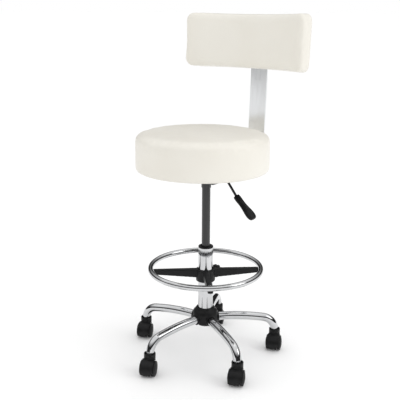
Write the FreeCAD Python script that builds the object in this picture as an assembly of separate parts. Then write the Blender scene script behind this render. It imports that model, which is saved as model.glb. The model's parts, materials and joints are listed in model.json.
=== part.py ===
import FreeCAD, Part
import math
import os

from FreeCAD import Placement, Rotation, Vector

# Rolling stylist stool, in millimetres. The origin is on the floor under the column,
# +Z is up, and the sitter faces -Y, so the backrest stands at +Y.
# The stool stands at its full height, with the seat turned a little against the base.

# Clearances
running_gap = 0.05        # radial, between parts that turn or slide on each other
free_gap = 0.3            # between parts that pass each other without touching
drill_extra = 1.0         # how far a cutting tool runs past the face it opens

# Seat
seat_diameter = 436.0
seat_top = 762.0
seat_thickness = 116.0
seat_forward = 21.0       # the seat's centre is this far in front of the column
seat_top_round = 18.0
seat_bottom_round = 13.0
board_inset = 16.0        # the plywood disc is this much smaller in radius than the seat
board_thickness = 15.0
lining_inset = 22.0
lining_thickness = 1.2

# Gas lift
lift_travel = 175.0
lift_spare = 4.0          # left between cylinder and buffer when the seat is all the way down
column_diameter = 50.0
column_wall = 2.0
column_taper = 2.8        # how much narrower the column is at its foot
column_taper_height = 42.0
column_floor = 3.0
column_top = 376.0
bush_length = 80.0
bush_collar_height = 5.5
bush_collar_round = 2.0
cylinder_diameter = 28.0
cylinder_wall = 1.8
cylinder_taper = 2.0      # how much narrower the cylinder is at its top
cylinder_taper_length = 42.0
seal_length = 12.0
valve_block_length = 20.0
valve_clearance = 4.0     # under the button, inside the valve block
rod_diameter = 10.0
rod_neck_diameter = 8.0
rod_end_length = 1.0      # below the clip
bearing_height = 6.0
bearing_diameter = 28.0
buffer_length = 16.0
piston_length = 12.0
piston_above_seal = 5.0
clip_thickness = 2.5
clip_diameter = 18.0
clip_gap = 2.0

# Seat plate, a flanged steel pan with a socket for the gas cylinder
plate_thickness = 3.0
plate_width = 200.0
plate_depth = 160.0
plate_corner = 14.0
pan_width = 110.0
pan_depth = 70.0
pan_height = 38.0
socket_wall = 3.0
socket_drop = 21.8        # how far the socket hangs below the pan
socket_rise = 14.0        # how far it stands up inside the pan
plate_bolt_inset_x = 20.0
plate_bolt_inset_y = 18.0
bolt_diameter = 8.0
bolt_head_diameter = 13.0
bolt_head_height = 5.5
bolt_grip = 12.0          # how deep a bolt goes into its board

# Release lever and valve button
button_diameter = 8.0
button_rise = 5.0
button_depth = 16.0
button_gap = 0.4
lever_diameter = 8.0
lever_pivot_inset = 12.0  # from the pan's side face in to the pivot pin
lever_tail = 3.0          # how far the rod runs past the button's middle
lever_straight = 11.0     # from the pan's side face out to the first bend
lever_bend_radius = 14.0
lever_drop_angle = 51.0
lever_drop_length = 68.0
lever_rise_angle = 8.5
lever_rise_radius = 40.0
lever_grip_length = 56.0
lever_eye_diameter = 14.0
lever_eye_length = 20.0
lever_slot_gap = 2.0      # beside the lever, where it leaves the pan
lever_slot_room = 4.0     # above and below it
pin_diameter = 6.0
pin_end_length = 2.0      # past the pan's walls
handle_length = 94.0
handle_overlap = 4.0      # how far the handle reaches back over the second bend
handle_sections = [       # share of the length, width across, thickness
    (0.00, 22.0, 18.0),
    (0.08, 24.0, 20.0),
    (0.35, 25.0, 18.0),
    (0.60, 32.0, 20.0),
    (0.82, 38.0, 21.0),
    (0.94, 33.0, 18.0),
    (1.00, 17.0, 9.0),
]

# Back bar and backrest
bar_width = 66.0
bar_thickness = 6.0
bar_plate_gap = 8.0       # between the seat plate and the end of the bar
bar_seat_gap = 41.0       # from the seat's rear edge to where the bar bends up
bar_bend_radius = 45.0
bar_recline = 2.55        # degrees that the upright leans back
bar_above_middle = 51.0   # how far the bar reaches above the pad's middle
bar_corner = 10.0
bar_bolt_start = 24.0     # from the bar's end to its first bolt
bar_bolt_spacing = 44.0
bead_width = 8.0
bead_spacing = 17.0
bead_depth = 1.8
bead_below_pad = 32.0
bead_above_pad = 60.0
pad_width = 478.0
pad_height = 188.0
pad_thickness = 52.0
pad_front_radius = 490.0
pad_above_seat = 277.0    # from the seat's top to the pad's middle
pad_corner = 29.0
pad_edge_round = 12.0
back_board_thickness = 10.0
back_board_inset = 13.0
spacer_thickness = 14.5
spacer_width = 60.0
spacer_height = 90.0
back_bolt_spacing = 56.0
back_bolt_short = 2.0     # how far a back bolt stops short of the board's front

# Footring
ring_height = 301.5
ring_radius = 185.5
ring_tube_diameter = 19.0
ring_tube_wall = 1.5
ring_turn = 42.9          # degrees from +X to the first spoke
spoke_count = 4
spider_height = 42.0
spider_below_ring = 1.5   # from the ring's centre line down to the hub's top
spider_wall = 7.2
spider_edge_round = 3.0
spoke_root_width = 22.0
spoke_root_height = 28.5
spoke_root_overlap = 6.0
spoke_tip_width = 17.0
spoke_tip_height = 14.5
spoke_tip_overlap = 4.0   # how far the spoke reaches past the ring's centre line
spoke_top_drop = 0.5
ring_screw_diameter = 4.0
ring_screw_head = 8.0
ring_screw_head_height = 2.2
ring_screw_end = 3.0      # from the screw's end up to the ring's centre line
clamp_turn = 87.9
clamp_below_ring = 25.5
clamp_screw_diameter = 8.0
clamp_boss_diameter = 22.0
clamp_boss_length = 8.5
clamp_screw_gap = 0.5
clamp_screw_end = 6.0     # from the screw's outer end to the knob's face
knob_gap = 2.0
knob_neck_diameter = 20.0
knob_neck_length = 4.0
knob_diameter = 44.0
knob_thickness = 17.0
knob_scallops = 8
knob_scallop_diameter = 9.0
knob_scallop_offset = 1.5 # from the knob's rim out to a scallop's centre
knob_edge_round = 2.5

# Casters
caster_circle = 244.0     # radius of the circle that the swivel pins stand on
caster_heading = -63.6    # degrees from +X to the side that the wheels trail on
caster_trail = 18.0
wheel_diameter = 50.0
wheel_width = 15.5
wheel_gap = 26.0          # between the inner faces of the two wheels
wheel_tread_width = 9.0
wheel_bore_depth = 11.0
wheel_bevel = 1.2
wheel_recess = 1.0
wheel_hub_diameter = 18.0
wheel_rim_width = 5.0
hub_web_width = 24.6
fender_width = 41.0
fender_thickness = 3.2
fender_gap = 1.3
fender_lip_height = 7.2
fender_side_bottom = 17.0
web_relief_height = 13.0
web_relief_reach = 36.0
cup_floor_rise = 10.0     # from the wheels' top up to the cup's floor
cup_depth = 10.0
cup_skirt = 10.0          # how far the round cup reaches down below its floor
cup_diameter = 38.0
cup_bore = 30.0
stem_diameter = 11.0
stem_length = 38.0
stem_below_cup = 19.0     # from the cup's floor down to the stem's lower end
stem_end_gap = 1.0
stem_collar_diameter = 16.0
stem_collar_height = 2.0
socket_tube_diameter = 21.0
socket_tube_rise = 3.0    # from the cup's floor up to the socket's lower end
socket_tube_length = 17.0
axle_diameter = 6.0
axle_end_gap = 0.5

# Base
leg_count = 5
base_turn = 44.9          # degrees from +X to the first leg
leg_diameter = 28.0
leg_wall = 1.5
leg_rise_angle = 3.0      # how steeply a leg leaves the hub
leg_arch_turn = 13.0
leg_bend_turn = 60.0
leg_bend_radius = 48.0
leg_end_run = 10.0
leg_end_rise = 3.4        # from the cup's rim up to the middle of the leg's end
leg_end_set_back = 0.8    # from the swivel axis in to the middle of the leg's end
leg_core_overlap = 2.0
core_wall = 11.0
core_height = 34.0
core_below_leg = 12.0     # from a leg's middle at the hub down to the core's underside
column_below_core = 4.0
cover_wall = 7.0          # around the core
cover_height = 50.0
cover_skirt = 4.0
cover_shoulder = 31.0     # from the core's underside up to the cover's shoulder
cover_collar_wall = 6.0
sleeve_wall = 3.5
sleeve_end = 11.0         # how far a leg sleeve reaches past the core
cap_height = 12.0
cap_wall = 2.0
cap_gap = 2.4             # between the column's foot and the inside of the cap

# Heights and places that follow from the sizes above
up = Vector(0, 0, 1)
seat_bottom = seat_top - seat_thickness
seat_rear = seat_diameter / 2 - seat_forward
plate_top = seat_bottom - lining_thickness
pan_top = plate_top - plate_thickness
pan_bottom = pan_top - pan_height

wheel_radius = wheel_diameter / 2
cup_floor = wheel_diameter + cup_floor_rise
cup_top = cup_floor + cup_depth
stem_bottom = cup_floor - stem_below_cup
axle_reach = wheel_gap / 2 + wheel_bore_depth - axle_end_gap

column_foot_diameter = column_diameter - column_taper
core_diameter = column_diameter + 2 * core_wall
leg_start = core_diameter / 2 - leg_core_overlap
leg_fall = leg_arch_turn - leg_rise_angle
leg_end_fall = leg_fall + leg_bend_turn


def sine(degrees):
    return math.sin(math.radians(degrees))


def cosine(degrees):
    return math.cos(math.radians(degrees))


leg_bend_run = leg_bend_radius * (sine(leg_end_fall) - sine(leg_fall))
leg_bend_drop = leg_bend_radius * (cosine(leg_fall) - cosine(leg_end_fall))
leg_end_drop = leg_end_run * sine(leg_end_fall)
leg_arch_end = caster_circle - leg_end_set_back - leg_end_run * cosine(leg_end_fall) - leg_bend_run
leg_arch_run = leg_arch_end - leg_start
leg_arch_radius = leg_arch_run / (sine(leg_rise_angle) + sine(leg_fall))
leg_arch_drop = leg_arch_radius * (cosine(leg_rise_angle) - cosine(leg_fall))
leg_start_height = cup_top + leg_end_rise + leg_end_drop + leg_bend_drop + leg_arch_drop
core_bottom = leg_start_height - core_below_leg
core_top = core_bottom + core_height
cover_top = core_bottom + cover_height
column_bottom = core_bottom - column_below_core

column_floor_top = column_bottom + column_floor
clip_top = column_bottom - clip_gap
rod_bottom = clip_top - clip_thickness - rod_end_length
rod_shoulder = column_floor_top + bearing_height + running_gap
buffer_top = rod_shoulder + buffer_length
cylinder_bottom = buffer_top + lift_travel + lift_spare
cylinder_nose_diameter = cylinder_diameter - cylinder_taper
cylinder_bore = cylinder_diameter - 2 * cylinder_wall
socket_diameter = cylinder_nose_diameter + 2 * socket_wall
socket_bottom = pan_bottom - socket_drop
socket_top = pan_bottom + plate_thickness + socket_rise
cylinder_top = socket_top + lining_thickness
button_top = cylinder_top + button_rise

lever_height = button_top + button_gap + lever_diameter / 2
lever_pivot = pan_width / 2 - lever_pivot_inset
lever_bend_start = pan_width / 2 + lever_straight
handle_start = -handle_overlap

bar_start = plate_depth / 2 + bar_plate_gap
bar_bend_start = seat_rear + bar_seat_gap
bar_bolt_places = (bar_start + bar_bolt_start, bar_start + bar_bolt_start + bar_bolt_spacing)
pad_middle_height = seat_top + pad_above_seat
bar_top = pad_middle_height + bar_above_middle
bar_upright_height = plate_top - bar_thickness / 2 + bar_bend_radius * (1 - sine(bar_recline))
bar_upright_place = bar_bend_start + bar_bend_radius * cosine(bar_recline)

ring_tube_radius = ring_tube_diameter / 2
spider_diameter = column_diameter + 2 * free_gap + 2 * spider_wall
spider_top = ring_height - spider_below_ring
spider_bottom = spider_top - spider_height
spoke_top = spider_top - spoke_top_drop
clamp_height = ring_height - clamp_below_ring
clamp_boss_end = spider_diameter / 2 + clamp_boss_length
knob_start = clamp_boss_end + knob_gap

parts = {}


def ring(outer, bottom, top, inner=0.0):
    # an upright disc, or a tube where an inner diameter is given
    shape = Part.makeCylinder(outer / 2, top - bottom, Vector(0, 0, bottom))
    if inner:
        height = top - bottom + 2 * drill_extra
        shape = shape.cut(Part.makeCylinder(inner / 2, height, Vector(0, 0, bottom - drill_extra)))
    return shape


def block(low, high):
    size = [b - a for a, b in zip(low, high)]
    return Part.makeBox(size[0], size[1], size[2], Vector(*low))


def pin(diameter, start, direction, length):
    return Part.makeCylinder(diameter / 2, length, Vector(*start), Vector(*direction))


def turned(profile, axis=up):
    # a solid of revolution; profile holds (distance from the axis, place along it)
    across = Vector(1, 0, 0)
    points = [across * r + axis * place for r, place in profile]
    face = Part.Face(Part.makePolygon(points + points[:1]))
    return face.revolve(Vector(0, 0, 0), axis, 360)


def moved(shape, x=0.0, y=0.0, z=0.0):
    copy = shape.copy()
    copy.translate(Vector(x, y, z))
    return copy


def turned_by(shape, degrees, axis=up, centre=Vector(0, 0, 0)):
    copy = shape.copy()
    copy.rotate(centre, axis, degrees)
    return copy


def without(shape, cutters):
    for cutter in cutters:
        shape = shape.cut(cutter)
    return shape


def rounded_rim(shape, height, radius):
    # rounds the flat edges that lie at one height
    rim = [edge for edge in shape.Edges
           if abs(edge.BoundBox.ZMin - height) < 0.01 and abs(edge.BoundBox.ZMax - height) < 0.01]
    return shape.makeFillet(radius, rim)


def around(shape, count, first):
    return [turned_by(shape, first + 360.0 * step / count) for step in range(count)]


def joined(shapes):
    first = shapes[0]
    return first.multiFuse(shapes[1:]).removeSplitter() if len(shapes) > 1 else first


def group(shapes):
    return Part.makeCompound(shapes)


def bent_path(start, heading, pieces):
    # a wire in the XZ plane of runs (length, 0) and bends (radius, turn), where a
    # positive turn goes down; gives the wire, its end and the heading there
    x, z = start
    angle = math.radians(heading)
    edges = []
    for size, turn in pieces:
        here = Vector(x, 0, z)
        if turn == 0:
            x += size * math.cos(angle)
            z += size * math.sin(angle)
            edges.append(Part.makeLine(here, Vector(x, 0, z)))
            continue
        side = 1 if turn > 0 else -1
        centre_x = x + side * size * math.sin(angle)
        centre_z = z - side * size * math.cos(angle)
        places = []
        for share in (0.5, 1.0):
            there = angle - math.radians(turn) * share
            places.append(Vector(centre_x - side * size * math.sin(there), 0,
                                 centre_z + side * size * math.cos(there)))
        edges.append(Part.Arc(here, places[0], places[1]).toShape())
        x, z = places[1].x, places[1].z
        angle -= math.radians(turn)
    return Part.Wire(edges), (x, z), math.degrees(angle)


def swept_round(path, diameter):
    first = path.Edges[0]
    start = first.valueAt(first.FirstParameter)
    direction = first.tangentAt(first.FirstParameter)
    circle = Part.Wire(Part.makeCircle(diameter / 2, start, direction))
    return path.makePipeShell([circle], True, False)


def bolt(x, y, under_head, length):
    head = pin(bolt_head_diameter, (x, y, under_head - bolt_head_height), (0, 0, 1), bolt_head_height)
    return head.fuse(pin(bolt_diameter, (x, y, under_head), (0, 0, 1), length))


# ---- base ----------------------------------------------------------------

def column_outside():
    radius = column_diameter / 2
    return turned([(0, column_bottom), (column_foot_diameter / 2, column_bottom),
                   (radius, column_bottom + column_taper_height), (radius, column_top), (0, column_top)])


def column_inside():
    radius = column_diameter / 2 - column_wall
    return turned([(0, column_floor_top), (column_foot_diameter / 2 - column_wall, column_floor_top),
                   (radius, column_bottom + column_taper_height), (radius, column_top + drill_extra),
                   (0, column_top + drill_extra)])


def leg_path():
    pieces = [(leg_arch_radius, leg_arch_turn), (leg_bend_radius, leg_bend_turn), (leg_end_run, 0)]
    return bent_path((leg_start, leg_start_height), leg_rise_angle, pieces)[0]


def make_base():
    floor_hole = ring(rod_neck_diameter + 2 * free_gap, column_bottom - drill_extra,
                      column_floor_top + drill_extra)
    parts["column_tube"] = column_outside().cut(column_inside()).cut(floor_hole)

    core = ring(core_diameter, core_bottom, core_top)
    parts["hub_core"] = core.cut(column_outside())

    socket = at_swivel(socket_tube_diameter, cup_floor + socket_tube_rise, socket_tube_length)
    stem = at_swivel(stem_diameter, stem_bottom, stem_length)
    outside = swept_round(leg_path(), leg_diameter)
    inside = swept_round(leg_path(), leg_diameter - 2 * leg_wall)
    leg = outside.cut(inside).cut(core).cut(socket)
    for number, shape in enumerate(around(leg, leg_count, base_turn), 1):
        parts["leg_%d" % number] = shape
    parts["leg_sockets"] = group(around(socket.cut(stem), leg_count, base_turn))
    collar = at_swivel(stem_collar_diameter, cup_floor + free_gap, stem_collar_height)
    parts["caster_stems"] = group(around(stem.fuse(collar), leg_count, base_turn))

    parts["hub_cover"] = make_hub_cover(outside)
    cavity_diameter = column_foot_diameter + 2 * cap_gap
    cap = ring(cavity_diameter + 2 * cap_wall, core_bottom - cap_height, core_bottom)
    parts["hub_cap"] = cap.cut(ring(cavity_diameter, core_bottom - cap_height + cap_wall, core_bottom))

    parts["thrust_bearing"] = ring(bearing_diameter, column_floor_top, column_floor_top + bearing_height,
                                   rod_neck_diameter + 2 * running_gap)
    parts["guide_bush"] = make_guide_bush()


def at_swivel(diameter, bottom, length):
    return pin(diameter, (caster_circle, 0, bottom), (0, 0, 1), length)


def make_guide_bush():
    collar_top = column_top + bush_collar_height
    bush = ring(column_diameter - 2 * column_wall, column_top - bush_length, column_top)
    collar = rounded_rim(ring(column_diameter, column_top, collar_top), collar_top, bush_collar_round)
    hole = ring(cylinder_diameter + 2 * running_gap, column_top - bush_length - drill_extra,
                collar_top + drill_extra)
    return bush.fuse(collar).removeSplitter().cut(hole)


def make_hub_cover(leg_outside):
    radius = core_diameter / 2 + cover_wall
    collar = column_diameter / 2 + cover_collar_wall
    shoulder = core_bottom + cover_shoulder
    dome = turned([(0, core_bottom), (radius, core_bottom), (radius, shoulder),
                   (radius - 3.0, shoulder + 8.0), (collar + 2.0, cover_top - 4.0),
                   (collar, cover_top), (0, cover_top)])
    sleeve_height = leg_start_height - leg_start * sine(leg_rise_angle)
    sleeve = pin(leg_diameter + 2 * sleeve_wall, (0, 0, sleeve_height),
                 (cosine(leg_rise_angle), 0, sine(leg_rise_angle)), core_diameter / 2 + sleeve_end)
    cover = joined([dome] + around(sleeve, leg_count, base_turn))
    cover = cover.common(ring(4 * radius, core_bottom - cover_skirt, cover_top))
    cover = cover.cut(ring(core_diameter, core_bottom - cover_skirt - drill_extra, core_top))
    cover = cover.cut(ring(column_diameter + 2 * free_gap, core_bottom, cover_top + drill_extra))
    for tube in around(leg_outside, leg_count, base_turn):
        cover = cover.cut(tube)
    return cover


# ---- gas lift ------------------------------------------------------------

def make_lift():
    seal_top = cylinder_bottom + seal_length
    piston_bottom = seal_top + piston_above_seal
    neck = ring(rod_neck_diameter, rod_bottom, rod_shoulder)
    rod = ring(rod_diameter, rod_shoulder, piston_bottom + piston_length)
    parts["piston_rod"] = neck.fuse(rod)
    parts["piston_head"] = ring(cylinder_bore - 2 * running_gap, piston_bottom,
                                piston_bottom + piston_length, rod_diameter)
    parts["rod_buffer"] = ring(bearing_diameter, rod_shoulder, buffer_top, rod_diameter)
    parts["rod_clip"] = ring(clip_diameter, clip_top - clip_thickness, clip_top, rod_neck_diameter)

    bore = ring(cylinder_bore, cylinder_bottom - drill_extra, cylinder_top - valve_block_length)
    button_hole = ring(button_diameter + 2 * running_gap, cylinder_top - button_depth - valve_clearance,
                       cylinder_top + drill_extra)
    parts["gas_cylinder"] = cylinder_outside().cut(bore).cut(button_hole)
    parts["cylinder_seal"] = ring(cylinder_bore, cylinder_bottom, seal_top, rod_diameter + 2 * running_gap)
    parts["release_button"] = ring(button_diameter, cylinder_top - button_depth, button_top)


def cylinder_outside():
    radius = cylinder_diameter / 2
    return turned([(0, cylinder_bottom), (radius, cylinder_bottom),
                   (radius, cylinder_top - cylinder_taper_length),
                   (cylinder_nose_diameter / 2, cylinder_top), (0, cylinder_top)])


# ---- seat ----------------------------------------------------------------

def plate_bolt_places():
    x = plate_width / 2 - plate_bolt_inset_x
    y = plate_depth / 2 - plate_bolt_inset_y
    return [(side * x, end * y) for side in (-1, 1) for end in (-1, 1)]


def make_seat():
    seat = rounded_rim(ring(seat_diameter, seat_bottom, seat_top), seat_top, seat_top_round)
    seat = rounded_rim(seat, seat_bottom, seat_bottom_round)
    board = ring(seat_diameter - 2 * board_inset, seat_bottom, seat_bottom + board_thickness)
    lining = ring(seat_diameter - 2 * lining_inset, plate_top, seat_bottom)
    seat, board, lining = [moved(shape, y=-seat_forward) for shape in (seat, board, lining)]
    parts["seat_cushion"] = seat.cut(board)

    bolts = [bolt(x, y, pan_top, seat_bottom - pan_top + bolt_grip) for x, y in plate_bolt_places()]
    under_bar = plate_top - bar_thickness
    bolts += [bolt(0, y, under_bar, seat_bottom - under_bar + bolt_grip) for y in bar_bolt_places]
    parts["seat_bolts"] = group(bolts)
    parts["seat_board"] = without(board, bolts)
    parts["seat_underside"] = without(lining, bolts)

    parts["seat_plate"] = without(make_seat_plate(), bolts)
    socket = ring(socket_diameter, socket_bottom, socket_top)
    parts["taper_socket"] = socket.cut(cylinder_outside())
    parts["lever_pin"] = lever_pin()
    return bolts


def lever_pin():
    reach = pan_depth / 2 + pin_end_length
    return pin(pin_diameter, (lever_pivot, -reach, lever_height), (0, 1, 0), 2 * reach)


def make_seat_plate():
    x, y = plate_width / 2, plate_depth / 2
    flange = block((-x, -y, pan_top), (x, y, plate_top))
    corners = [edge for edge in flange.Edges if abs(edge.tangentAt(0).z) > 0.9]
    flange = flange.makeFillet(plate_corner, corners)
    x, y = pan_width / 2, pan_depth / 2
    pan = block((-x, -y, pan_bottom), (x, y, pan_top))
    wall = plate_thickness
    hollow = block((-x + wall, -y + wall, pan_bottom + wall), (x - wall, y - wall, plate_top + drill_extra))
    room = lever_diameter / 2 + lever_slot_room
    half_slot = lever_diameter / 2 + lever_slot_gap
    slot = block((x - wall - drill_extra, -half_slot, lever_height - room),
                 (x + drill_extra, half_slot, lever_height + room))
    socket_hole = ring(socket_diameter, pan_bottom - drill_extra, pan_bottom + wall + drill_extra)
    return flange.fuse(pan).removeSplitter().cut(hollow).cut(slot).cut(socket_hole).cut(lever_pin())


# ---- lever ---------------------------------------------------------------

def make_lever():
    pieces = [(lever_bend_start + lever_tail, 0), (lever_bend_radius, lever_drop_angle),
              (lever_drop_length, 0), (lever_rise_radius, -lever_rise_angle)]
    start = (-lever_tail, lever_height)
    grip_start, heading = bent_path(start, 0, pieces)[1:]
    path = bent_path(start, 0, pieces + [(lever_grip_length, 0)])[0]
    rod = swept_round(path, lever_diameter)
    eye = pin(lever_eye_diameter, (lever_pivot, -lever_eye_length / 2, lever_height), (0, 1, 0),
              lever_eye_length)
    eye_hole = pin(pin_diameter + 2 * running_gap, (lever_pivot, -lever_eye_length, lever_height),
                   (0, 1, 0), 2 * lever_eye_length)
    parts["lever_rod"] = rod.fuse(eye).removeSplitter().cut(eye_hole)

    angle = math.radians(heading)
    along = Vector(math.cos(angle), 0, math.sin(angle))
    wires = []
    for share, width, thickness in handle_sections:
        centre = Vector(grip_start[0], 0, grip_start[1]) + along * (handle_start + share * handle_length)
        wide = centre + Vector(0, width / 2, 0)
        thick = centre + along.cross(Vector(0, 1, 0)) * (thickness / 2)
        wires.append(Part.Wire(Part.Ellipse(wide, thick, centre).toShape()))
    parts["lever_handle"] = Part.makeLoft(wires, True).cut(rod)


# ---- back bar and backrest -----------------------------------------------

def back_placement():
    # carries the backrest's own frame to its place: its origin is on the bar's
    # front face at the middle of the pad, and it leans back with the bar
    rise = pad_middle_height - bar_upright_height
    lean = math.tan(math.radians(bar_recline))
    place = bar_upright_place + rise * lean - bar_thickness / 2 / cosine(bar_recline)
    return Placement(Vector(0, place, pad_middle_height), Rotation(Vector(1, 0, 0), -bar_recline))


def placed_on_back(shape):
    copy = shape.copy()
    copy.Placement = back_placement().multiply(copy.Placement)
    return copy


def curved_slab(inner_radius, outer_radius, width, height, corner):
    # a slab bent round an upright axis in front of the pad, cut to an upright
    # rectangle with rounded corners as seen from the front
    centre = Vector(0, -spacer_thickness - pad_front_radius - pad_thickness, -height)
    slab = Part.makeCylinder(outer_radius, 2 * height, centre)
    slab = slab.cut(Part.makeCylinder(inner_radius, 2 * height, centre))
    outline = block((-width / 2, centre.y, -height / 2), (width / 2, 0, height / 2))
    corners = [edge for edge in outline.Edges if edge.BoundBox.YLength > 0.9 * abs(centre.y)]
    return slab.common(outline.makeFillet(corner, corners))


def front_edges(pad):
    # the edges all round the concave front face
    face = [f for f in pad.Faces if f.Surface.TypeId == "Part::GeomCylinder"
            and abs(f.Surface.Radius - pad_front_radius) < 0.01][0]
    return face.Edges


def bead(x, low, high):
    radius = bead_width / 2
    deep = Vector(0, 1, 0)
    start = -drill_extra
    depth = bead_depth + drill_extra
    middle = block((x - radius, start, low), (x + radius, start + depth, high))
    ends = [Part.makeCylinder(radius, depth, Vector(x, start, z), deep) for z in (low, high)]
    return joined([middle] + ends)


def make_back(seat_bolts):
    rear_radius = pad_front_radius + pad_thickness
    pad = curved_slab(pad_front_radius, rear_radius, pad_width, pad_height, pad_corner)
    pad = pad.makeFillet(pad_edge_round, front_edges(pad))
    board = curved_slab(rear_radius - back_board_thickness, rear_radius, pad_width - 2 * back_board_inset,
                        pad_height - 2 * back_board_inset, pad_corner - back_board_inset)

    rear_centre = Vector(0, -spacer_thickness - rear_radius, -spacer_height)
    x, z = spacer_width / 2, spacer_height / 2
    spacer = block((-x, -spacer_thickness - drill_extra, -z), (x, 0, z))
    spacer = spacer.cut(Part.makeCylinder(rear_radius, 2 * spacer_height, rear_centre))

    bolts = []
    for z in (-back_bolt_spacing / 2, back_bolt_spacing / 2):
        length = bar_thickness + spacer_thickness + back_board_thickness - back_bolt_short
        shank = pin(bolt_diameter, (0, bar_thickness, z), (0, -1, 0), length)
        head = pin(bolt_head_diameter, (0, bar_thickness, z), (0, 1, 0), bolt_head_height)
        bolts.append(shank.fuse(head))

    parts["back_cushion"] = placed_on_back(pad.cut(board))
    parts["back_board"] = placed_on_back(without(board, bolts))
    parts["back_spacer"] = placed_on_back(without(spacer, bolts))
    placed_bolts = [placed_on_back(shape) for shape in bolts]
    parts["back_bolts"] = group(placed_bolts)

    beads = [placed_on_back(bead(side * bead_spacing / 2, -pad_height / 2 - bead_below_pad,
                                 -pad_height / 2 + bead_above_pad)) for side in (-1, 1)]
    parts["back_bar"] = without(make_back_bar(), seat_bolts + placed_bolts + beads)


def make_back_bar():
    height = plate_top - bar_thickness / 2
    upright = (bar_top - bar_upright_height) / cosine(bar_recline)
    pieces = [(bar_bend_start - bar_start, 0), (bar_bend_radius, bar_recline - 90.0), (upright, 0)]
    path = bent_path((bar_start, height), 0, pieces)[0]
    y, z = bar_width / 2, bar_thickness / 2
    corners = [Vector(bar_start, side * y, height + level * z)
               for side, level in ((-1, -1), (1, -1), (1, 1), (-1, 1))]
    section = Part.makePolygon(corners + corners[:1])
    bar = path.makePipeShell([section], True, False)
    ends = [edge for edge in bar.Edges if abs(edge.Length - bar_thickness) < 0.01]
    return turned_by(bar.makeFillet(bar_corner, ends), 90.0)


# ---- footring ------------------------------------------------------------

def make_footring():
    centre = Vector(0, 0, ring_height)
    tube = Part.makeTorus(ring_radius, ring_tube_radius, centre)
    hollow = Part.makeTorus(ring_radius, ring_tube_radius - ring_tube_wall, centre)

    hub = ring(spider_diameter, spider_bottom, spider_top)
    hub = hub.makeFillet(spider_edge_round, [edge for edge in hub.Edges
                                             if edge.BoundBox.ZLength < 0.1])
    spoke = footring_spoke()
    boss = pin(clamp_boss_diameter, (0, 0, clamp_height), (1, 0, 0), clamp_boss_end)
    spider = joined([hub] + around(spoke, spoke_count, ring_turn) + [turned_by(boss, clamp_turn)])
    spider = spider.cut(ring(column_diameter + 2 * free_gap, spider_bottom - drill_extra,
                             spider_top + drill_extra))
    screw_hole = pin(clamp_screw_diameter + 2 * running_gap, (0, 0, clamp_height), (1, 0, 0),
                     clamp_boss_end + drill_extra)
    spider = spider.cut(turned_by(screw_hole, clamp_turn)).cut(tube)

    spoke_bottom = spoke_top - spoke_tip_height
    screw = pin(ring_screw_diameter, (ring_radius, 0, spoke_bottom), (0, 0, 1),
                ring_height - ring_screw_end - spoke_bottom)
    head = pin(ring_screw_head, (ring_radius, 0, spoke_bottom - ring_screw_head_height), (0, 0, 1),
               ring_screw_head_height)
    screws = around(screw.fuse(head), spoke_count, ring_turn)
    parts["ring_screws"] = group(screws)
    parts["foot_ring"] = without(tube.cut(hollow), screws)
    parts["foot_spider"] = without(spider, screws)
    make_clamp()


def footring_spoke():
    # tapered in width and in depth, with a level top
    start = spider_diameter / 2 - spoke_root_overlap
    end = ring_radius + spoke_tip_overlap
    y = (spoke_root_width / 2, spoke_tip_width / 2)
    plan = [Vector(start, -y[0], 0), Vector(end, -y[1], 0), Vector(end, y[1], 0), Vector(start, y[0], 0)]
    root = Vector(start, 0, spoke_top - spoke_root_height)
    tip = Vector(end, 0, spoke_top - spoke_tip_height)
    side = [root, tip, Vector(end, 0, spoke_top), Vector(start, 0, spoke_top)]
    from_above = Part.Face(Part.makePolygon(plan + plan[:1])).extrude(up * ring_height)
    from_side = Part.Face(Part.makePolygon(side + side[:1])).extrude(Vector(0, spoke_root_width, 0))
    return from_above.common(moved(from_side, y=-spoke_root_width / 2))


def make_clamp():
    knob_end = knob_start + knob_neck_length + knob_thickness
    screw_start = column_diameter / 2 + clamp_screw_gap
    screw = pin(clamp_screw_diameter, (screw_start, 0, clamp_height), (1, 0, 0),
                knob_end - clamp_screw_end - screw_start)
    neck = pin(knob_neck_diameter, (knob_start, 0, clamp_height), (1, 0, 0), knob_neck_length)
    grip = pin(knob_diameter, (knob_start + knob_neck_length, 0, clamp_height), (1, 0, 0), knob_thickness)
    centre = Vector(0, 0, clamp_height)
    for step in range(knob_scallops):
        rim = clamp_height + knob_diameter / 2 + knob_scallop_offset
        scallop = pin(knob_scallop_diameter, (knob_start, 0, rim), (1, 0, 0), knob_end)
        turn = 360.0 * step / knob_scallops
        grip = grip.cut(turned_by(scallop, turn, Vector(1, 0, 0), centre))
    rims = [edge for edge in grip.Edges if edge.BoundBox.XLength < 0.1]
    grip = grip.makeFillet(knob_edge_round, rims)
    parts["clamp_knob"] = turned_by(grip.fuse(neck).cut(screw), clamp_turn)
    parts["clamp_screw"] = turned_by(screw, clamp_turn)


# ---- casters -------------------------------------------------------------

def along_axle(diameter, start, end):
    # a disc on the axle, between two places along it
    return pin(diameter, (caster_trail, start, wheel_radius), (0, 1, 0), end - start)


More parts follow.
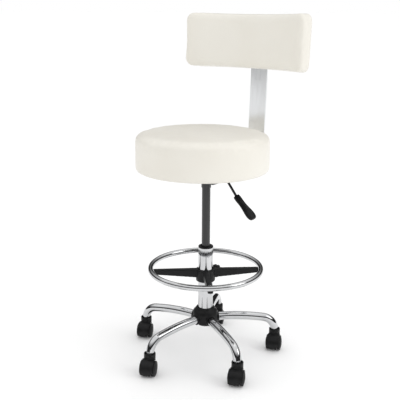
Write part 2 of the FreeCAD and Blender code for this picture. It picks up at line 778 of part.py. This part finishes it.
def caster_hood():
    outer = wheel_diameter + 2 * (fender_gap + fender_thickness)
    inner = wheel_diameter + 2 * fender_gap
    web = along_axle(outer, -hub_web_width / 2, hub_web_width / 2)
    web = web.cut(block((-outer, -outer, -outer), (web_relief_reach, outer, web_relief_height)))
    web = web.cut(block((-outer, -outer, -outer), (2 * outer, outer, fender_lip_height)))
    fender = along_axle(outer, -fender_width / 2, fender_width / 2)
    fender = fender.cut(along_axle(inner, -fender_width, fender_width))
    fender = fender.common(block((0, -outer, fender_side_bottom), (2 * outer, outer, 2 * outer)))
    tower = ring(cup_diameter, wheel_radius, cup_top)
    tower = tower.common(joined([ring(cup_diameter, cup_floor - cup_skirt, cup_top),
                                 block((-outer, -hub_web_width / 2, wheel_radius),
                                       (outer, hub_web_width / 2, cup_top))]))
    hood = joined([web, fender, tower])
    hood = hood.cut(along_axle(inner, hub_web_width / 2, outer))
    hood = hood.cut(along_axle(inner, -outer, -hub_web_width / 2))
    hood = hood.cut(ring(cup_bore, cup_floor, cup_top + drill_extra))
    hood = hood.cut(ring(stem_diameter + 2 * running_gap, stem_bottom - stem_end_gap, cup_top))
    return hood.cut(caster_axle())


def caster_axle():
    return along_axle(axle_diameter, -axle_reach, axle_reach)


def cap_arc(rim, crown):
    # from a rim to a crown on the axis, as part of a circle that is centred on the axis
    rise = crown.y - rim.y
    sphere = (rim.x ** 2 + rise ** 2) / (2 * rise)
    half = math.asin(rim.x / sphere) / 2
    middle = Vector(sphere * math.sin(half), crown.y - sphere * (1 - math.cos(half)), 0)
    return Part.Arc(rim, middle, crown).toShape()


def caster_wheel():
    # revolved about Y, from the inner face at 0 to the crown of the cover
    radius = wheel_radius
    bore = axle_diameter / 2 + running_gap
    hub = wheel_hub_diameter / 2
    rim = radius - wheel_rim_width
    near = wheel_recess
    deep = 2 * wheel_recess
    tread = near + wheel_tread_width
    profile = [(bore, 0), (hub, 0), (hub, deep), (rim, deep), (rim, near), (radius - wheel_bevel, near),
               (radius, near + wheel_bevel), (radius, tread), (radius - wheel_bevel, tread + wheel_bevel)]
    points = [Vector(across, along, 0) for across, along in profile]
    edges = [Part.makeLine(a, b) for a, b in zip(points, points[1:])]
    crown = Vector(0, wheel_width, 0)
    edges.append(cap_arc(points[-1], crown))
    inside = [crown, Vector(0, wheel_bore_depth, 0), Vector(bore, wheel_bore_depth, 0), points[0]]
    edges += [Part.makeLine(a, b) for a, b in zip(inside, inside[1:])]
    wheel = Part.Face(Part.Wire(edges)).revolve(Vector(0, 0, 0), Vector(0, 1, 0), 360)
    return moved(wheel, x=caster_trail, y=wheel_gap / 2, z=wheel_radius)


def make_casters():
    wheel = caster_wheel()
    pieces = {"hood": caster_hood(), "axle": caster_axle(), "wheel_a": wheel,
              "wheel_b": wheel.mirror(Vector(0, 0, 0), Vector(0, 1, 0))}
    for number in range(1, leg_count + 1):
        angle = math.radians(base_turn + 360.0 * (number - 1) / leg_count)
        x, y = caster_circle * math.cos(angle), caster_circle * math.sin(angle)
        for name, shape in pieces.items():
            parts["caster_%d_%s" % (number, name)] = moved(turned_by(shape, caster_heading), x=x, y=y)


make_base()
make_lift()
seat_bolt_shapes = make_seat()
make_lever()
make_back(seat_bolt_shapes)
make_footring()
make_casters()

os.makedirs("parts", exist_ok=True)
for name, shape in parts.items():
    shape.exportStep("parts/%s.step" % name)
    print("%-18s valid %s, %d solids, %.0f mm3" % (name, shape.isValid(), len(shape.Solids), shape.Volume))
print(len(parts), "nodes")
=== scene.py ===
import bpy
import bmesh
import json
import math
from mathutils import Matrix, Vector, noise


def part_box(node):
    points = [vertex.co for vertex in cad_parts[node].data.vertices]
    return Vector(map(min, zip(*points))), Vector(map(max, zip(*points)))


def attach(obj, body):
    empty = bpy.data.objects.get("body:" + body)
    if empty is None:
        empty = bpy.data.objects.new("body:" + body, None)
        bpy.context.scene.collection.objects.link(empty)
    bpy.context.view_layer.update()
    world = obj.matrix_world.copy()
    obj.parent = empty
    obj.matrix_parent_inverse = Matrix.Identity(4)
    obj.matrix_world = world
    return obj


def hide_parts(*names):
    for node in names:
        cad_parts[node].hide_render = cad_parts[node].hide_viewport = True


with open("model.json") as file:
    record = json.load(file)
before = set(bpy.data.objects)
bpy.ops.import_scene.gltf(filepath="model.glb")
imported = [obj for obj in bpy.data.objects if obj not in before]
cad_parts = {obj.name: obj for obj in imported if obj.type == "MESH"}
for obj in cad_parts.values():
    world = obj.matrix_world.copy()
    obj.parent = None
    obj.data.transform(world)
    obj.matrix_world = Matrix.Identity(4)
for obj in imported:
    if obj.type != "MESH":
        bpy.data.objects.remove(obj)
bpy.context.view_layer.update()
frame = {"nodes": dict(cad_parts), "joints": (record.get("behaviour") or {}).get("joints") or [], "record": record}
nodes = frame["nodes"]
print("frame loaded:", len(nodes), "nodes")

# ---- small helpers ----


def mm(value):
    return value / 1000.0


def addObject(name, mesh):
    piece = bpy.data.objects.new(name, mesh)
    bpy.context.scene.collection.objects.link(piece)
    return piece


def finishPiece(piece, body, material):
    piece.data.materials.clear()
    piece.data.materials.append(material)
    for face in piece.data.polygons:
        face.use_smooth = True
    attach(piece, body)
    return piece


def applyModifiers(piece):
    graph = bpy.context.evaluated_depsgraph_get()
    mesh = bpy.data.meshes.new_from_object(piece.evaluated_get(graph))
    piece.modifiers.clear()
    piece.data = mesh
    return piece


def joinedCopy(name, nodeNames):
    # one mesh that holds a copy of each of these CAD nodes
    form = bmesh.new()
    for nodeName in nodeNames:
        form.from_mesh(nodes[nodeName].data)
    bmesh.ops.remove_doubles(form, verts=form.verts, dist=1e-6)
    mesh = bpy.data.meshes.new(name)
    form.to_mesh(mesh)
    form.free()
    return addObject(name, mesh)


def remesh(piece, voxel):
    modifier = piece.modifiers.new("Remesh", "REMESH")
    modifier.mode = "VOXEL"
    modifier.voxel_size = voxel
    return applyModifiers(piece)


def lathe(profile, steps, place, axis):
    # turns (radius, along) pairs round an axis through a place; open ends close on the axis
    form = bmesh.new()
    spin = axis.to_track_quat("Z", "Y").to_matrix().to_4x4()
    rings = []
    for radius, along in profile:
        if radius < 1e-6:
            rings.append([form.verts.new(Vector((0, 0, along)))])
            continue
        angles = [2 * math.pi * step / steps for step in range(steps)]
        rings.append([form.verts.new(Vector((radius * math.cos(a), radius * math.sin(a), along)))
                      for a in angles])
    for low, high in zip(rings, rings[1:]):
        for step in range(steps):
            after = (step + 1) % steps
            corners = [low[step % len(low)], low[after % len(low)],
                       high[after % len(high)], high[step % len(high)]]
            corners = list(dict.fromkeys(corners))
            if len(corners) > 2:
                form.faces.new(corners)
    bmesh.ops.recalc_face_normals(form, faces=form.faces)
    form.transform(Matrix.Translation(place) @ spin)
    return form


# ---- materials ----


class Recipe:
    # a material under construction: its shader, and the links that feed it
    def __init__(self, name, colour, metallic, roughness):
        self.material = bpy.data.materials.new(name)
        self.material.use_nodes = True
        self.nodes = self.material.node_tree.nodes
        self.links = self.material.node_tree.links
        self.shader = self.nodes["Principled BSDF"]
        self.shader.inputs["Base Color"].default_value = (*colour, 1)
        self.shader.inputs["Metallic"].default_value = metallic
        self.shader.inputs["Roughness"].default_value = roughness
        self.place = self.nodes.new("ShaderNodeTexCoord").outputs["Object"]
        self.height = None

    def set(self, **values):
        for name, value in values.items():
            self.shader.inputs[name.replace("_", " ")].default_value = value

    def noise(self, scale, detail=3.0, stretch=None):
        source = self.place
        if stretch:
            mapping = self.nodes.new("ShaderNodeMapping")
            mapping.inputs["Scale"].default_value = stretch
            self.links.new(source, mapping.inputs["Vector"])
            source = mapping.outputs["Vector"]
        texture = self.nodes.new("ShaderNodeTexNoise")
        texture.inputs["Scale"].default_value = scale
        texture.inputs["Detail"].default_value = detail
        self.links.new(source, texture.inputs["Vector"])
        return texture.outputs["Fac"]

    def cells(self, scale, feature="DISTANCE_TO_EDGE"):
        texture = self.nodes.new("ShaderNodeTexVoronoi")
        texture.feature = feature
        texture.inputs["Scale"].default_value = scale
        self.links.new(self.place, texture.inputs["Vector"])
        return texture.outputs["Distance"]

    def ramp(self, source, stops):
        ramp = self.nodes.new("ShaderNodeValToRGB")
        points = ramp.color_ramp.elements
        while len(points) < len(stops):
            points.new(0.5)
        for point, (at, colour) in zip(points, stops):
            point.position = at
            point.color = (*colour, 1)
        self.links.new(source, ramp.inputs["Fac"])
        return ramp.outputs["Color"]

    def spread(self, source, low, high):
        spread = self.nodes.new("ShaderNodeMapRange")
        spread.inputs["From Min"].default_value = 0.3
        spread.inputs["From Max"].default_value = 0.7
        spread.inputs["To Min"].default_value = low
        spread.inputs["To Max"].default_value = high
        self.links.new(source, spread.inputs["Value"])
        return spread.outputs["Result"]

    def colour(self, source):
        self.links.new(source, self.shader.inputs["Base Color"])

    def roughness(self, source, low, high):
        self.links.new(self.spread(source, low, high), self.shader.inputs["Roughness"])

    def bump(self, source, distance, strength=1.0):
        bump = self.nodes.new("ShaderNodeBump")
        bump.inputs["Distance"].default_value = distance
        bump.inputs["Strength"].default_value = strength
        self.links.new(source, bump.inputs["Height"])
        if self.height:
            self.links.new(self.height, bump.inputs["Normal"])
        self.height = bump.outputs["Normal"]
        self.links.new(self.height, self.shader.inputs["Normal"])

    def darken(self, source, attribute, colour, amount):
        # mixes a colour in where a mesh attribute says so
        read = self.nodes.new("ShaderNodeAttribute")
        read.attribute_name = attribute
        share = self.nodes.new("ShaderNodeMath")
        share.operation = "MULTIPLY"
        share.inputs[1].default_value = amount
        self.links.new(read.outputs["Fac"], share.inputs[0])
        mix = self.nodes.new("ShaderNodeMixRGB")
        mix.inputs["Color2"].default_value = (*colour, 1)
        self.links.new(share.outputs[0], mix.inputs["Fac"])
        self.links.new(source, mix.inputs["Color1"])
        return mix.outputs["Color"]


leatheretteLook = {
    "light": (0.78, 0.757, 0.695),
    "shade": (0.745, 0.715, 0.645),
    # seam: darker cream used as painted shade in the sunk seam groove
    "seam": (0.47, 0.43, 0.36),
    "grain": 620.0,
    "grainDepth": mm(0.10),
}


def makeLeatherette():
    look = leatheretteLook
    recipe = Recipe("cream leatherette", look["light"], 0.0, 0.42)
    recipe.set(Sheen_Weight=0.08, Sheen_Roughness=0.5, Specular_IOR_Level=0.4)
    drift = recipe.noise(4.0, 2.0)
    base = recipe.ramp(drift, [(0.32, look["shade"]), (0.62, look["light"])])
    # painted shade: the cream is darkened towards the seam colour along the seam groove
    recipe.colour(recipe.darken(base, "seamPaintedShade", look["seam"], 0.55))
    recipe.roughness(recipe.noise(38.0, 4.0), 0.36, 0.50)
    recipe.bump(recipe.noise(16.0, 2.0), mm(0.9), 0.5)
    recipe.bump(recipe.cells(look["grain"]), look["grainDepth"], 0.5)
    recipe.bump(recipe.noise(1500.0, 2.0), mm(0.05), 0.4)
    return recipe.material


def makeChrome():
    recipe = Recipe("polished chrome", (0.64, 0.645, 0.655), 1.0, 0.06)
    smear = recipe.noise(26.0, 4.0)
    recipe.colour(recipe.ramp(smear, [(0.3, (0.58, 0.585, 0.595)), (0.7, (0.66, 0.665, 0.675))]))
    recipe.roughness(recipe.noise(60.0, 5.0), 0.035, 0.10)
    recipe.bump(recipe.noise(9.0, 1.0), mm(0.25), 0.15)
    return recipe.material


def makeSatinChrome():
    recipe = Recipe("satin chrome", (0.74, 0.75, 0.76), 1.0, 0.2)
    grain = recipe.noise(140.0, 5.0, (1.0, 1.0, 0.02))
    recipe.colour(recipe.ramp(grain, [(0.3, (0.80, 0.81, 0.82)), (0.7, (0.90, 0.91, 0.92))]))
    recipe.roughness(grain, 0.14, 0.24)
    recipe.bump(grain, mm(0.02), 0.3)
    return recipe.material


def makeSteel():
    recipe = Recipe("zinc plated steel", (0.52, 0.53, 0.54), 1.0, 0.3)
    grain = recipe.noise(220.0, 4.0)
    recipe.colour(recipe.ramp(grain, [(0.3, (0.44, 0.45, 0.46)), (0.7, (0.60, 0.61, 0.62))]))
    recipe.roughness(grain, 0.22, 0.4)
    recipe.bump(grain, mm(0.03), 0.3)
    return recipe.material


def makeBlackSteel():
    recipe = Recipe("black satin paint", (0.014, 0.014, 0.015), 0.0, 0.34)
    recipe.set(Coat_Weight=0.25, Coat_Roughness=0.2)
    cloud = recipe.noise(45.0, 3.0)
    recipe.colour(recipe.ramp(cloud, [(0.3, (0.011, 0.011, 0.012)), (0.7, (0.020, 0.020, 0.021))]))
    recipe.roughness(cloud, 0.26, 0.40)
    recipe.bump(recipe.noise(900.0, 2.0), mm(0.03), 0.35)
    return recipe.material


def makeBlackPlastic(name, tone, rough):
    recipe = Recipe(name, (tone, tone, tone * 1.06), 0.0, rough)
    recipe.set(Specular_IOR_Level=0.22)
    cloud = recipe.noise(70.0, 3.0)
    low, high = tone * 0.75, tone * 1.4
    recipe.colour(recipe.ramp(cloud, [(0.3, (low, low, low * 1.05)), (0.7, (high, high, high * 1.05))]))
    recipe.roughness(cloud, rough - 0.05, rough + 0.08)
    recipe.bump(recipe.cells(1100.0, "F1"), mm(0.06), 0.4)
    recipe.bump(recipe.noise(240.0, 3.0), mm(0.04), 0.3)
    return recipe.material


def makePlywood():
    recipe = Recipe("birch plywood", (0.60, 0.44, 0.27), 0.0, 0.6)
    grain = recipe.noise(30.0, 6.0, (1.0, 6.0, 6.0))
    recipe.colour(recipe.ramp(grain, [(0.3, (0.50, 0.35, 0.20)), (0.7, (0.68, 0.52, 0.34))]))
    recipe.bump(grain, mm(0.1), 0.4)
    return recipe.material


def makeLining():
    recipe = Recipe("black lining cloth", (0.02, 0.02, 0.02), 0.0, 0.85)
    fibre = recipe.noise(700.0, 4.0, (1.0, 0.25, 1.0))
    recipe.colour(recipe.ramp(fibre, [(0.35, (0.012, 0.012, 0.012)), (0.65, (0.045, 0.045, 0.045))]))
    recipe.roughness(fibre, 0.8, 0.95)
    recipe.bump(fibre, mm(0.12), 0.6)
    return recipe.material


def makeRubber():
    recipe = Recipe("black rubber", (0.02, 0.02, 0.02), 0.0, 0.7)
    cloud = recipe.noise(160.0, 3.0)
    recipe.colour(recipe.ramp(cloud, [(0.3, (0.014, 0.014, 0.014)), (0.7, (0.03, 0.03, 0.03))]))
    recipe.bump(cloud, mm(0.05), 0.3)
    return recipe.material


finishes = {
    "chrome": makeChrome(),
    "satinChrome": makeSatinChrome(),
    "steel": makeSteel(),
    "black_steel": makeBlackSteel(),
    "black_plastic": makeBlackPlastic("black nylon", 0.007, 0.42),
    "tread": makeBlackPlastic("black wheel nylon", 0.005, 0.5),
    "leatherette": makeLeatherette(),
    "plywood": makePlywood(),
    "lining": makeLining(),
    "rubber": makeRubber(),
}

ownFinish = {"back_bar": "satinChrome"}       # nodes that differ from their slot's usual finish
for entry in frame["record"]["subparts"]:
    node = nodes[entry["node"]]
    finish = finishes[ownFinish.get(entry["node"], entry["material_slot"])]
    node.data.materials.clear()
    node.data.materials.append(finish)
print("materials made")

# ---- cushions ----

seatLook = {
    "voxel": mm(4.0),
    "inset": mm(2.5),        # how much smaller the form is before it is blown up
    "swell": mm(5.5),        # the most that a point may move
    "pressure": 4.0,
    "crown": mm(3.0),        # extra rise at the middle of the top
    "seamBelow": mm(20.0),   # from the seat's top down to its seam
    "seamDepth": mm(1.1),
    "seamWidth": mm(2.6),
    "seamHold": 0.30,        # how strongly the seam holds the cover in
    "seamReach": mm(14.0),
    "pucker": mm(0.35),
}
padLook = {
    "voxel": mm(4.0),
    "inset": mm(1.5),
    "swell": mm(5.0),
    "pressure": 4.0,
    "recline": math.radians(2.55),
    "frontRadius": mm(490.0),
    "thickness": mm(52.0),
    "spacer": mm(14.5),
    "spacerHeight": mm(90.0),
    "width": mm(478.0),
    "height": mm(188.0),
    "corner": mm(29.0),
    "edgeRound": mm(12.0),
    "dip": mm(3.0),          # how far the long edges draw in at their middle
    "seamDepth": mm(1.0),
    "seamWidth": mm(2.6),
    "seamHold": 0.30,
    "seamReach": mm(13.0),
    "pucker": mm(0.35),
}


seatLow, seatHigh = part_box("seat_cushion")
seatMiddle = (seatLow + seatHigh) / 2
seatRadius = (seatHigh.x - seatLow.x) / 2


def seatSeamDistance(point):
    # the top panel is sewn to the side band a little under the rounded edge
    across = math.hypot(point.x - seatMiddle.x, point.y - seatMiddle.y) - seatRadius
    return math.hypot(across, point.z - (seatHigh.z - seatLook["seamBelow"]))


def padFrame():
    # the pad's own frame: its origin is on the bar's front face, at the pad's middle
    low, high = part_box("back_spacer")
    lean = padLook["recline"]
    half = padLook["spacerHeight"] / 2
    origin = Vector((0, high.y - half * math.sin(lean), low.z + half * math.cos(lean)))
    return Matrix.Translation(origin) @ Matrix.Rotation(-lean, 4, "X")


def padCurveCentre():
    return -padLook["spacer"] - padLook["frontRadius"] - padLook["thickness"]


padPlace = padFrame()
padPlaceBack = padPlace.inverted()


def padSeamDistance(point):
    local = padPlaceBack @ point
    depth = math.hypot(local.x, local.y - padCurveCentre()) - padLook["frontRadius"]
    corner = padLook["corner"]
    sideways = abs(local.x) - (padLook["width"] / 2 - corner)
    upward = abs(local.z) - (padLook["height"] / 2 - corner)
    outside = math.hypot(max(sideways, 0), max(upward, 0)) + min(max(sideways, upward), 0) - corner
    back = padLook["edgeRound"] * (1 - math.sqrt(0.5))
    return math.hypot(depth - back, outside + back)


def seatGiving(point, normal):
    # 0 where the cover is stapled to the board underneath, 1 where it is free
    return min(1.0, max(0.0, (point.z - seatLow.z - mm(3.0)) / mm(18.0)))


def padGiving(point, normal):
    local = padPlaceBack @ point
    fromRear = padLook["frontRadius"] + padLook["thickness"] - math.hypot(local.x, local.y - padCurveCentre())
    return min(1.0, max(0.0, (fromRear - mm(2.0)) / mm(16.0)))


def blowUp(piece, look, giving, seamDistance):
    mesh = piece.data
    full = [vertex.co.copy() for vertex in mesh.vertices]
    normals = [vertex.normal.copy() for vertex in mesh.vertices]
    give = [giving(point, normal) for point, normal in zip(full, normals)]
    for vertex, point, normal, share in zip(mesh.vertices, full, normals, give):
        vertex.co = point - normal * look["inset"] * share
    start = [vertex.co.copy() for vertex in mesh.vertices]
    moves = simulate(piece, look, give, start)
    for index, vertex in enumerate(mesh.vertices):
        move = moves[index]
        length = move.length
        if length > 1e-9:
            capped = look["swell"] * (1 - math.exp(-length / look["swell"]))
            hold = look["seamHold"] * math.exp(-(seamDistance(start[index]) / look["seamReach"]) ** 2)
            move = move * (capped / length) * (1 - hold)
        vertex.co = start[index] + move


def simulate(piece, look, give, start):
    held = piece.vertex_groups.new(name="held")
    for index, share in enumerate(give):
        if share < 0.05:
            held.add([index], 1.0, "REPLACE")
    cloth = piece.modifiers.new("Cloth", "CLOTH")
    cloth.settings.quality = 5
    cloth.settings.mass = 0.4
    cloth.settings.use_pressure = True
    cloth.settings.uniform_pressure_force = look["pressure"]
    cloth.settings.effector_weights.gravity = 0
    cloth.settings.vertex_group_mass = "held"
    cloth.collision_settings.use_collision = False
    cloth.point_cache.frame_start = 1
    cloth.point_cache.frame_end = 20
    scene = bpy.context.scene
    for step in range(1, 21):
        scene.frame_set(step)
    graph = bpy.context.evaluated_depsgraph_get()
    swollen = piece.evaluated_get(graph).to_mesh()
    moves = [vertex.co - begin for vertex, begin in zip(swollen.vertices, start)]
    piece.evaluated_get(graph).to_mesh_clear()
    piece.modifiers.clear()
    piece.vertex_groups.clear()
    scene.frame_set(1)
    return moves


def relax(piece, times, factor=0.5):
    form = bmesh.new()
    form.from_mesh(piece.data)
    for _ in range(times):
        bmesh.ops.smooth_vert(form, verts=form.verts, factor=factor, use_axis_x=True,
                              use_axis_y=True, use_axis_z=True)
    form.to_mesh(piece.data)
    form.free()


def subdivide(piece):
    modifier = piece.modifiers.new("Subdivision", "SUBSURF")
    modifier.levels = 1
    modifier.render_levels = 1
    return applyModifiers(piece)


def sewSeam(piece, look, seamDistance):
    # sinks the seam, gathers the cover a little beside it, and marks a narrow band along it where the material
    # paints shade into the groove
    mesh = piece.data
    shade = mesh.attributes.new("seamPaintedShade", "FLOAT", "POINT")
    values = []
    places = []
    normals = [vertex.normal.copy() for vertex in mesh.vertices]
    for vertex, normal in zip(mesh.vertices, normals):
        place = vertex.co.copy()
        distance = seamDistance(place)
        groove = math.exp(-(distance / look["seamWidth"]) ** 2)
        beside = math.exp(-(distance / look["seamReach"]) ** 2) - groove
        wave = noise.noise(place * 70.0) + 0.5 * noise.noise(place * 150.0)
        places.extend(place - normal * (look["seamDepth"] * groove - look["pucker"] * beside * wave))
        # painted shade mask: strongest on the seam line, fading within a few millimetres
        values.append(math.exp(-(distance / mm(2.2)) ** 2))
    mesh.vertices.foreach_set("co", places)
    mesh.update()
    shade.data.foreach_set("value", values)


def makeCushion(name, nodeNames, look, giving, seamDistance, shape):
    piece = joinedCopy(name, nodeNames)
    remesh(piece, look["voxel"])
    relax(piece, 2)
    blowUp(piece, look, giving, seamDistance)
    relax(piece, 2)
    for vertex in piece.data.vertices:
        vertex.co = shape(vertex.co.copy())
    subdivide(piece)
    sewSeam(piece, look, seamDistance)
    finishPiece(piece, "seat", finishes["leatherette"])
    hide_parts(*nodeNames)
    return piece


def crownSeat(point):
    # the top rises a little towards its middle
    share = math.hypot(point.x - seatMiddle.x, point.y - seatMiddle.y) / seatRadius
    height = (point.z - seatLow.z) / (seatHigh.z - seatLow.z)
    point.z += seatLook["crown"] * max(0.0, 1 - share * share) * max(0.0, height) ** 3
    return point


def dipPad(point):
    # the long edges draw in a little between the ends
    local = padPlaceBack @ point
    share = 1 - (local.x / (padLook["width"] / 2)) ** 2
    reach = local.z / (padLook["height"] / 2)
    local.z -= padLook["dip"] * max(0.0, share) * reach
    return padPlace @ local


seatCushion = makeCushion("seatCushion", ["seat_cushion", "seat_board"], seatLook, seatGiving,
                          seatSeamDistance, crownSeat)
print("seat cushion made:", len(seatCushion.data.polygons), "faces")
backCushion = makeCushion("backCushion", ["back_cushion", "back_board"], padLook, padGiving,
                          padSeamDistance, dipPad)
print("back cushion made:", len(backCushion.data.polygons), "faces")

# ---- moulded and turned pieces ----

mouldings = {                # voxel size, and how often its edges are softened
    "hub_cover": (mm(1.1), 5),
    "hub_cap": (mm(0.9), 2),
    "guide_bush": (mm(0.9), 2),
    "foot_spider": (mm(1.2), 3),
    "clamp_knob": (mm(0.8), 2),
    "lever_handle": (mm(0.9), 3),
}


def makeMoulding(name, voxel, times):
    piece = joinedCopy(name + "Moulded", [name])
    remesh(piece, voxel)
    relax(piece, times)
    return piece


bodyOf = {}
for body, members in frame["record"]["behaviour"]["bodies"].items():
    for member in members:
        bodyOf[member] = body

for nodeName, (voxel, times) in mouldings.items():
    piece = makeMoulding(nodeName, voxel, times)
    finishPiece(piece, bodyOf[nodeName], finishes["black_plastic"])
    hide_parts(nodeName)
print("moulded pieces made")

casterLook = {
    "hoodVoxel": mm(0.9),
    "hoodSoftness": 3,
    "wheelSteps": 64,
}


def makeHoods():
    # one hood is formed, and the other four are copies of it moved to their own swivels
    first = makeMoulding("caster_1_hood", casterLook["hoodVoxel"], casterLook["hoodSoftness"])
    home = swivelOf("caster_1")
    for number in range(1, 6):
        body = "caster_%d" % number
        piece = first
        if number > 1:
            mesh = first.data.copy()
            mesh.transform(Matrix.Translation(swivelOf(body) - home))
            piece = addObject("caster_%d_hoodMoulded" % number, mesh)
        finishPiece(piece, body, finishes["black_plastic"])
        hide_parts(body + "_hood")


def swivelOf(body):
    joint = [j for j in frame["joints"] if j["child"] == body][0]
    return Vector(joint["pos_m"])


def wheelProfile(radius, width, bore):
    # (radius, along) from the inner face, over the tread, to the middle of the side cover
    near = mm(1.0)
    tread = mm(10.0)
    shoulder = mm(1.4)
    profile = [(bore, near), (mm(9), 0.0), (mm(9.6), mm(0.4)), (mm(10.2), mm(2)), (radius - mm(6), mm(2)),
               (radius - mm(4.6), near)]
    for step in range(5):
        angle = math.pi / 2 * step / 4
        profile.append((radius - shoulder + shoulder * math.sin(angle),
                        near + shoulder - shoulder * math.cos(angle)))
    for step in range(5):
        angle = math.pi / 2 * step / 4
        profile.append((radius - shoulder + shoulder * math.cos(angle), tread + shoulder * math.sin(angle)))
    edge = radius - mm(3.4)
    profile += [(edge + mm(0.6), tread + mm(1.5)), (edge, tread + mm(0.9)), (edge - mm(0.7), tread + mm(1.5))]
    rise = width - tread - mm(1.7)
    for step in range(1, 9):
        share = step / 8
        across = (edge - mm(0.7)) * (1 - share)
        profile.append((across, tread + mm(1.7) + rise * (1 - (1 - share) ** 2)))
    return profile


def makeWheels():
    for joint in frame["joints"]:
        body = joint["child"]
        if not body.startswith("wheel_"):
            continue
        node = frame["record"]["behaviour"]["bodies"][body][0]
        low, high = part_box(node)
        middle = (low + high) / 2
        centre = Vector(joint["pos_m"])
        axis = Vector(joint["axis"])
        out = axis if (middle - centre).dot(axis) > 0 else -axis
        radius = (high.z - low.z) / 2
        width = mm(15.5)
        inner = mm(13.0)
        profile = wheelProfile(radius, width, mm(3.05))
        form = lathe(profile, casterLook["wheelSteps"], centre + out * inner, out)
        mesh = bpy.data.meshes.new(body)
        form.to_mesh(mesh)
        form.free()
        piece = addObject(body + "Turned", mesh)
        finishPiece(piece, body, finishes["tread"])
        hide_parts(node)


makeHoods()
makeWheels()
print("casters made")

# ---- floor, light and camera ----

studio = {
    "floorSize": 900.0,
    "floorColour": (0.97, 0.97, 0.97),
    "backdrop": 1.0,
    "fill": 1.04,
    "keyPlace": (3.0, 1.0, 2.2), "keySize": 1.8, "keyPower": 20.0,
    "sidePlace": (-3.0, -2.2, 2.4), "sideSize": 1.6, "sidePower": 2.0,
    "topPlace": (0.0, 0.4, 3.6), "topSize": 2.4, "topPower": 5.0,
    "aim": (0.0, 0.0, 0.6),
    "reflection": [(0.485, 0.5), (0.505, 0.03), (0.64, 0.02), (0.73, 0.35), (0.86, 1.0)],
}


def makeFloor():
    form = bmesh.new()
    half = studio["floorSize"] / 2
    corners = [form.verts.new((x * half, y * half, 0)) for x, y in ((-1, -1), (1, -1), (1, 1), (-1, 1))]
    form.faces.new(corners)
    mesh = bpy.data.meshes.new("floor")
    form.to_mesh(mesh)
    form.free()
    floor = addObject("floor", mesh)
    recipe = Recipe("pale floor", studio["floorColour"], 0.0, 0.6)
    recipe.set(Specular_IOR_Level=0.0)
    recipe.bump(recipe.noise(90.0, 2.0), mm(0.05), 0.1)
    floor.data.materials.append(recipe.material)


def makeLamp(name):
    light = bpy.data.lights.new(name, "AREA")
    light.shape = "SQUARE"
    light.size = studio[name + "Size"]
    light.energy = studio[name + "Power"]
    lamp = bpy.data.objects.new(name, light)
    bpy.context.scene.collection.objects.link(lamp)
    lamp.location = studio[name + "Place"]
    direction = Vector(studio["aim"]) - lamp.location
    lamp.rotation_euler = direction.to_track_quat("-Z", "Y").to_euler()


def makeWorld():
    world = bpy.data.worlds.new("studio")
    bpy.context.scene.world = world
    world.use_nodes = True
    tree = world.node_tree
    tree.nodes.clear()
    output = tree.nodes.new("ShaderNodeOutputWorld")
    rays = tree.nodes.new("ShaderNodeLightPath")
    direction = tree.nodes.new("ShaderNodeTexCoord")
    parts = tree.nodes.new("ShaderNodeSeparateXYZ")
    tree.links.new(direction.outputs["Generated"], parts.inputs[0])
    height = tree.nodes.new("ShaderNodeMapRange")
    height.inputs["From Min"].default_value = -1
    height.inputs["From Max"].default_value = 1
    tree.links.new(parts.outputs["Z"], height.inputs["Value"])
    ramp = tree.nodes.new("ShaderNodeValToRGB")
    points = ramp.color_ramp.elements
    stops = studio["reflection"]
    while len(points) < len(stops):
        points.new(0.5)
    for point, (at, level) in zip(points, stops):
        point.position = at
        point.color = (level, level, level, 1)
    tree.links.new(height.outputs["Result"], ramp.inputs["Fac"])
    seen = tree.nodes.new("ShaderNodeBackground")
    seen.inputs["Strength"].default_value = studio["backdrop"]
    seen.inputs["Color"].default_value = (1, 1, 1, 1)
    fill = tree.nodes.new("ShaderNodeBackground")
    fill.inputs["Strength"].default_value = studio["fill"]
    fill.inputs["Color"].default_value = (1, 1, 1, 1)
    mirrored = tree.nodes.new("ShaderNodeBackground")
    tree.links.new(ramp.outputs["Color"], mirrored.inputs["Color"])
    glossy = tree.nodes.new("ShaderNodeMixShader")
    tree.links.new(rays.outputs["Is Glossy Ray"], glossy.inputs["Fac"])
    tree.links.new(fill.outputs[0], glossy.inputs[1])
    tree.links.new(mirrored.outputs[0], glossy.inputs[2])
    camera = tree.nodes.new("ShaderNodeMixShader")
    tree.links.new(rays.outputs["Is Camera Ray"], camera.inputs["Fac"])
    tree.links.new(glossy.outputs[0], camera.inputs[1])
    tree.links.new(seen.outputs[0], camera.inputs[2])
    tree.links.new(camera.outputs[0], output.inputs["Surface"])


view = {
    "azimuth": 38.0,
    "distance": 2.270,
    "height": 1.141,
    "down": 14.87,
    "aside": -0.51,          # how far the camera looks past the column, in degrees
    "roll": 0.30,
    "lens": 64.26,
}


def makeCamera():
    data = bpy.data.cameras.new("camera")
    data.lens = view["lens"]
    data.sensor_width = 36.0
    camera = bpy.data.objects.new("camera", data)
    bpy.context.scene.collection.objects.link(camera)
    turn = math.radians(view["azimuth"])
    camera.location = (view["distance"] * math.sin(turn), -view["distance"] * math.cos(turn), view["height"])
    heading = turn - math.radians(view["aside"])
    down = math.radians(view["down"])
    forward = Vector((-math.sin(heading) * math.cos(down), math.cos(heading) * math.cos(down), -math.sin(down)))
    look = forward.to_track_quat("-Z", "Y")
    camera.rotation_euler = (look.to_matrix() @ Matrix.Rotation(math.radians(view["roll"]), 3, "Z")).to_euler()
    bpy.context.scene.camera = camera


makeFloor()
for lampName in ("key", "side", "top"):
    makeLamp(lampName)
makeWorld()
makeCamera()
bpy.context.scene.view_settings.view_transform = "Standard"
print("studio made")
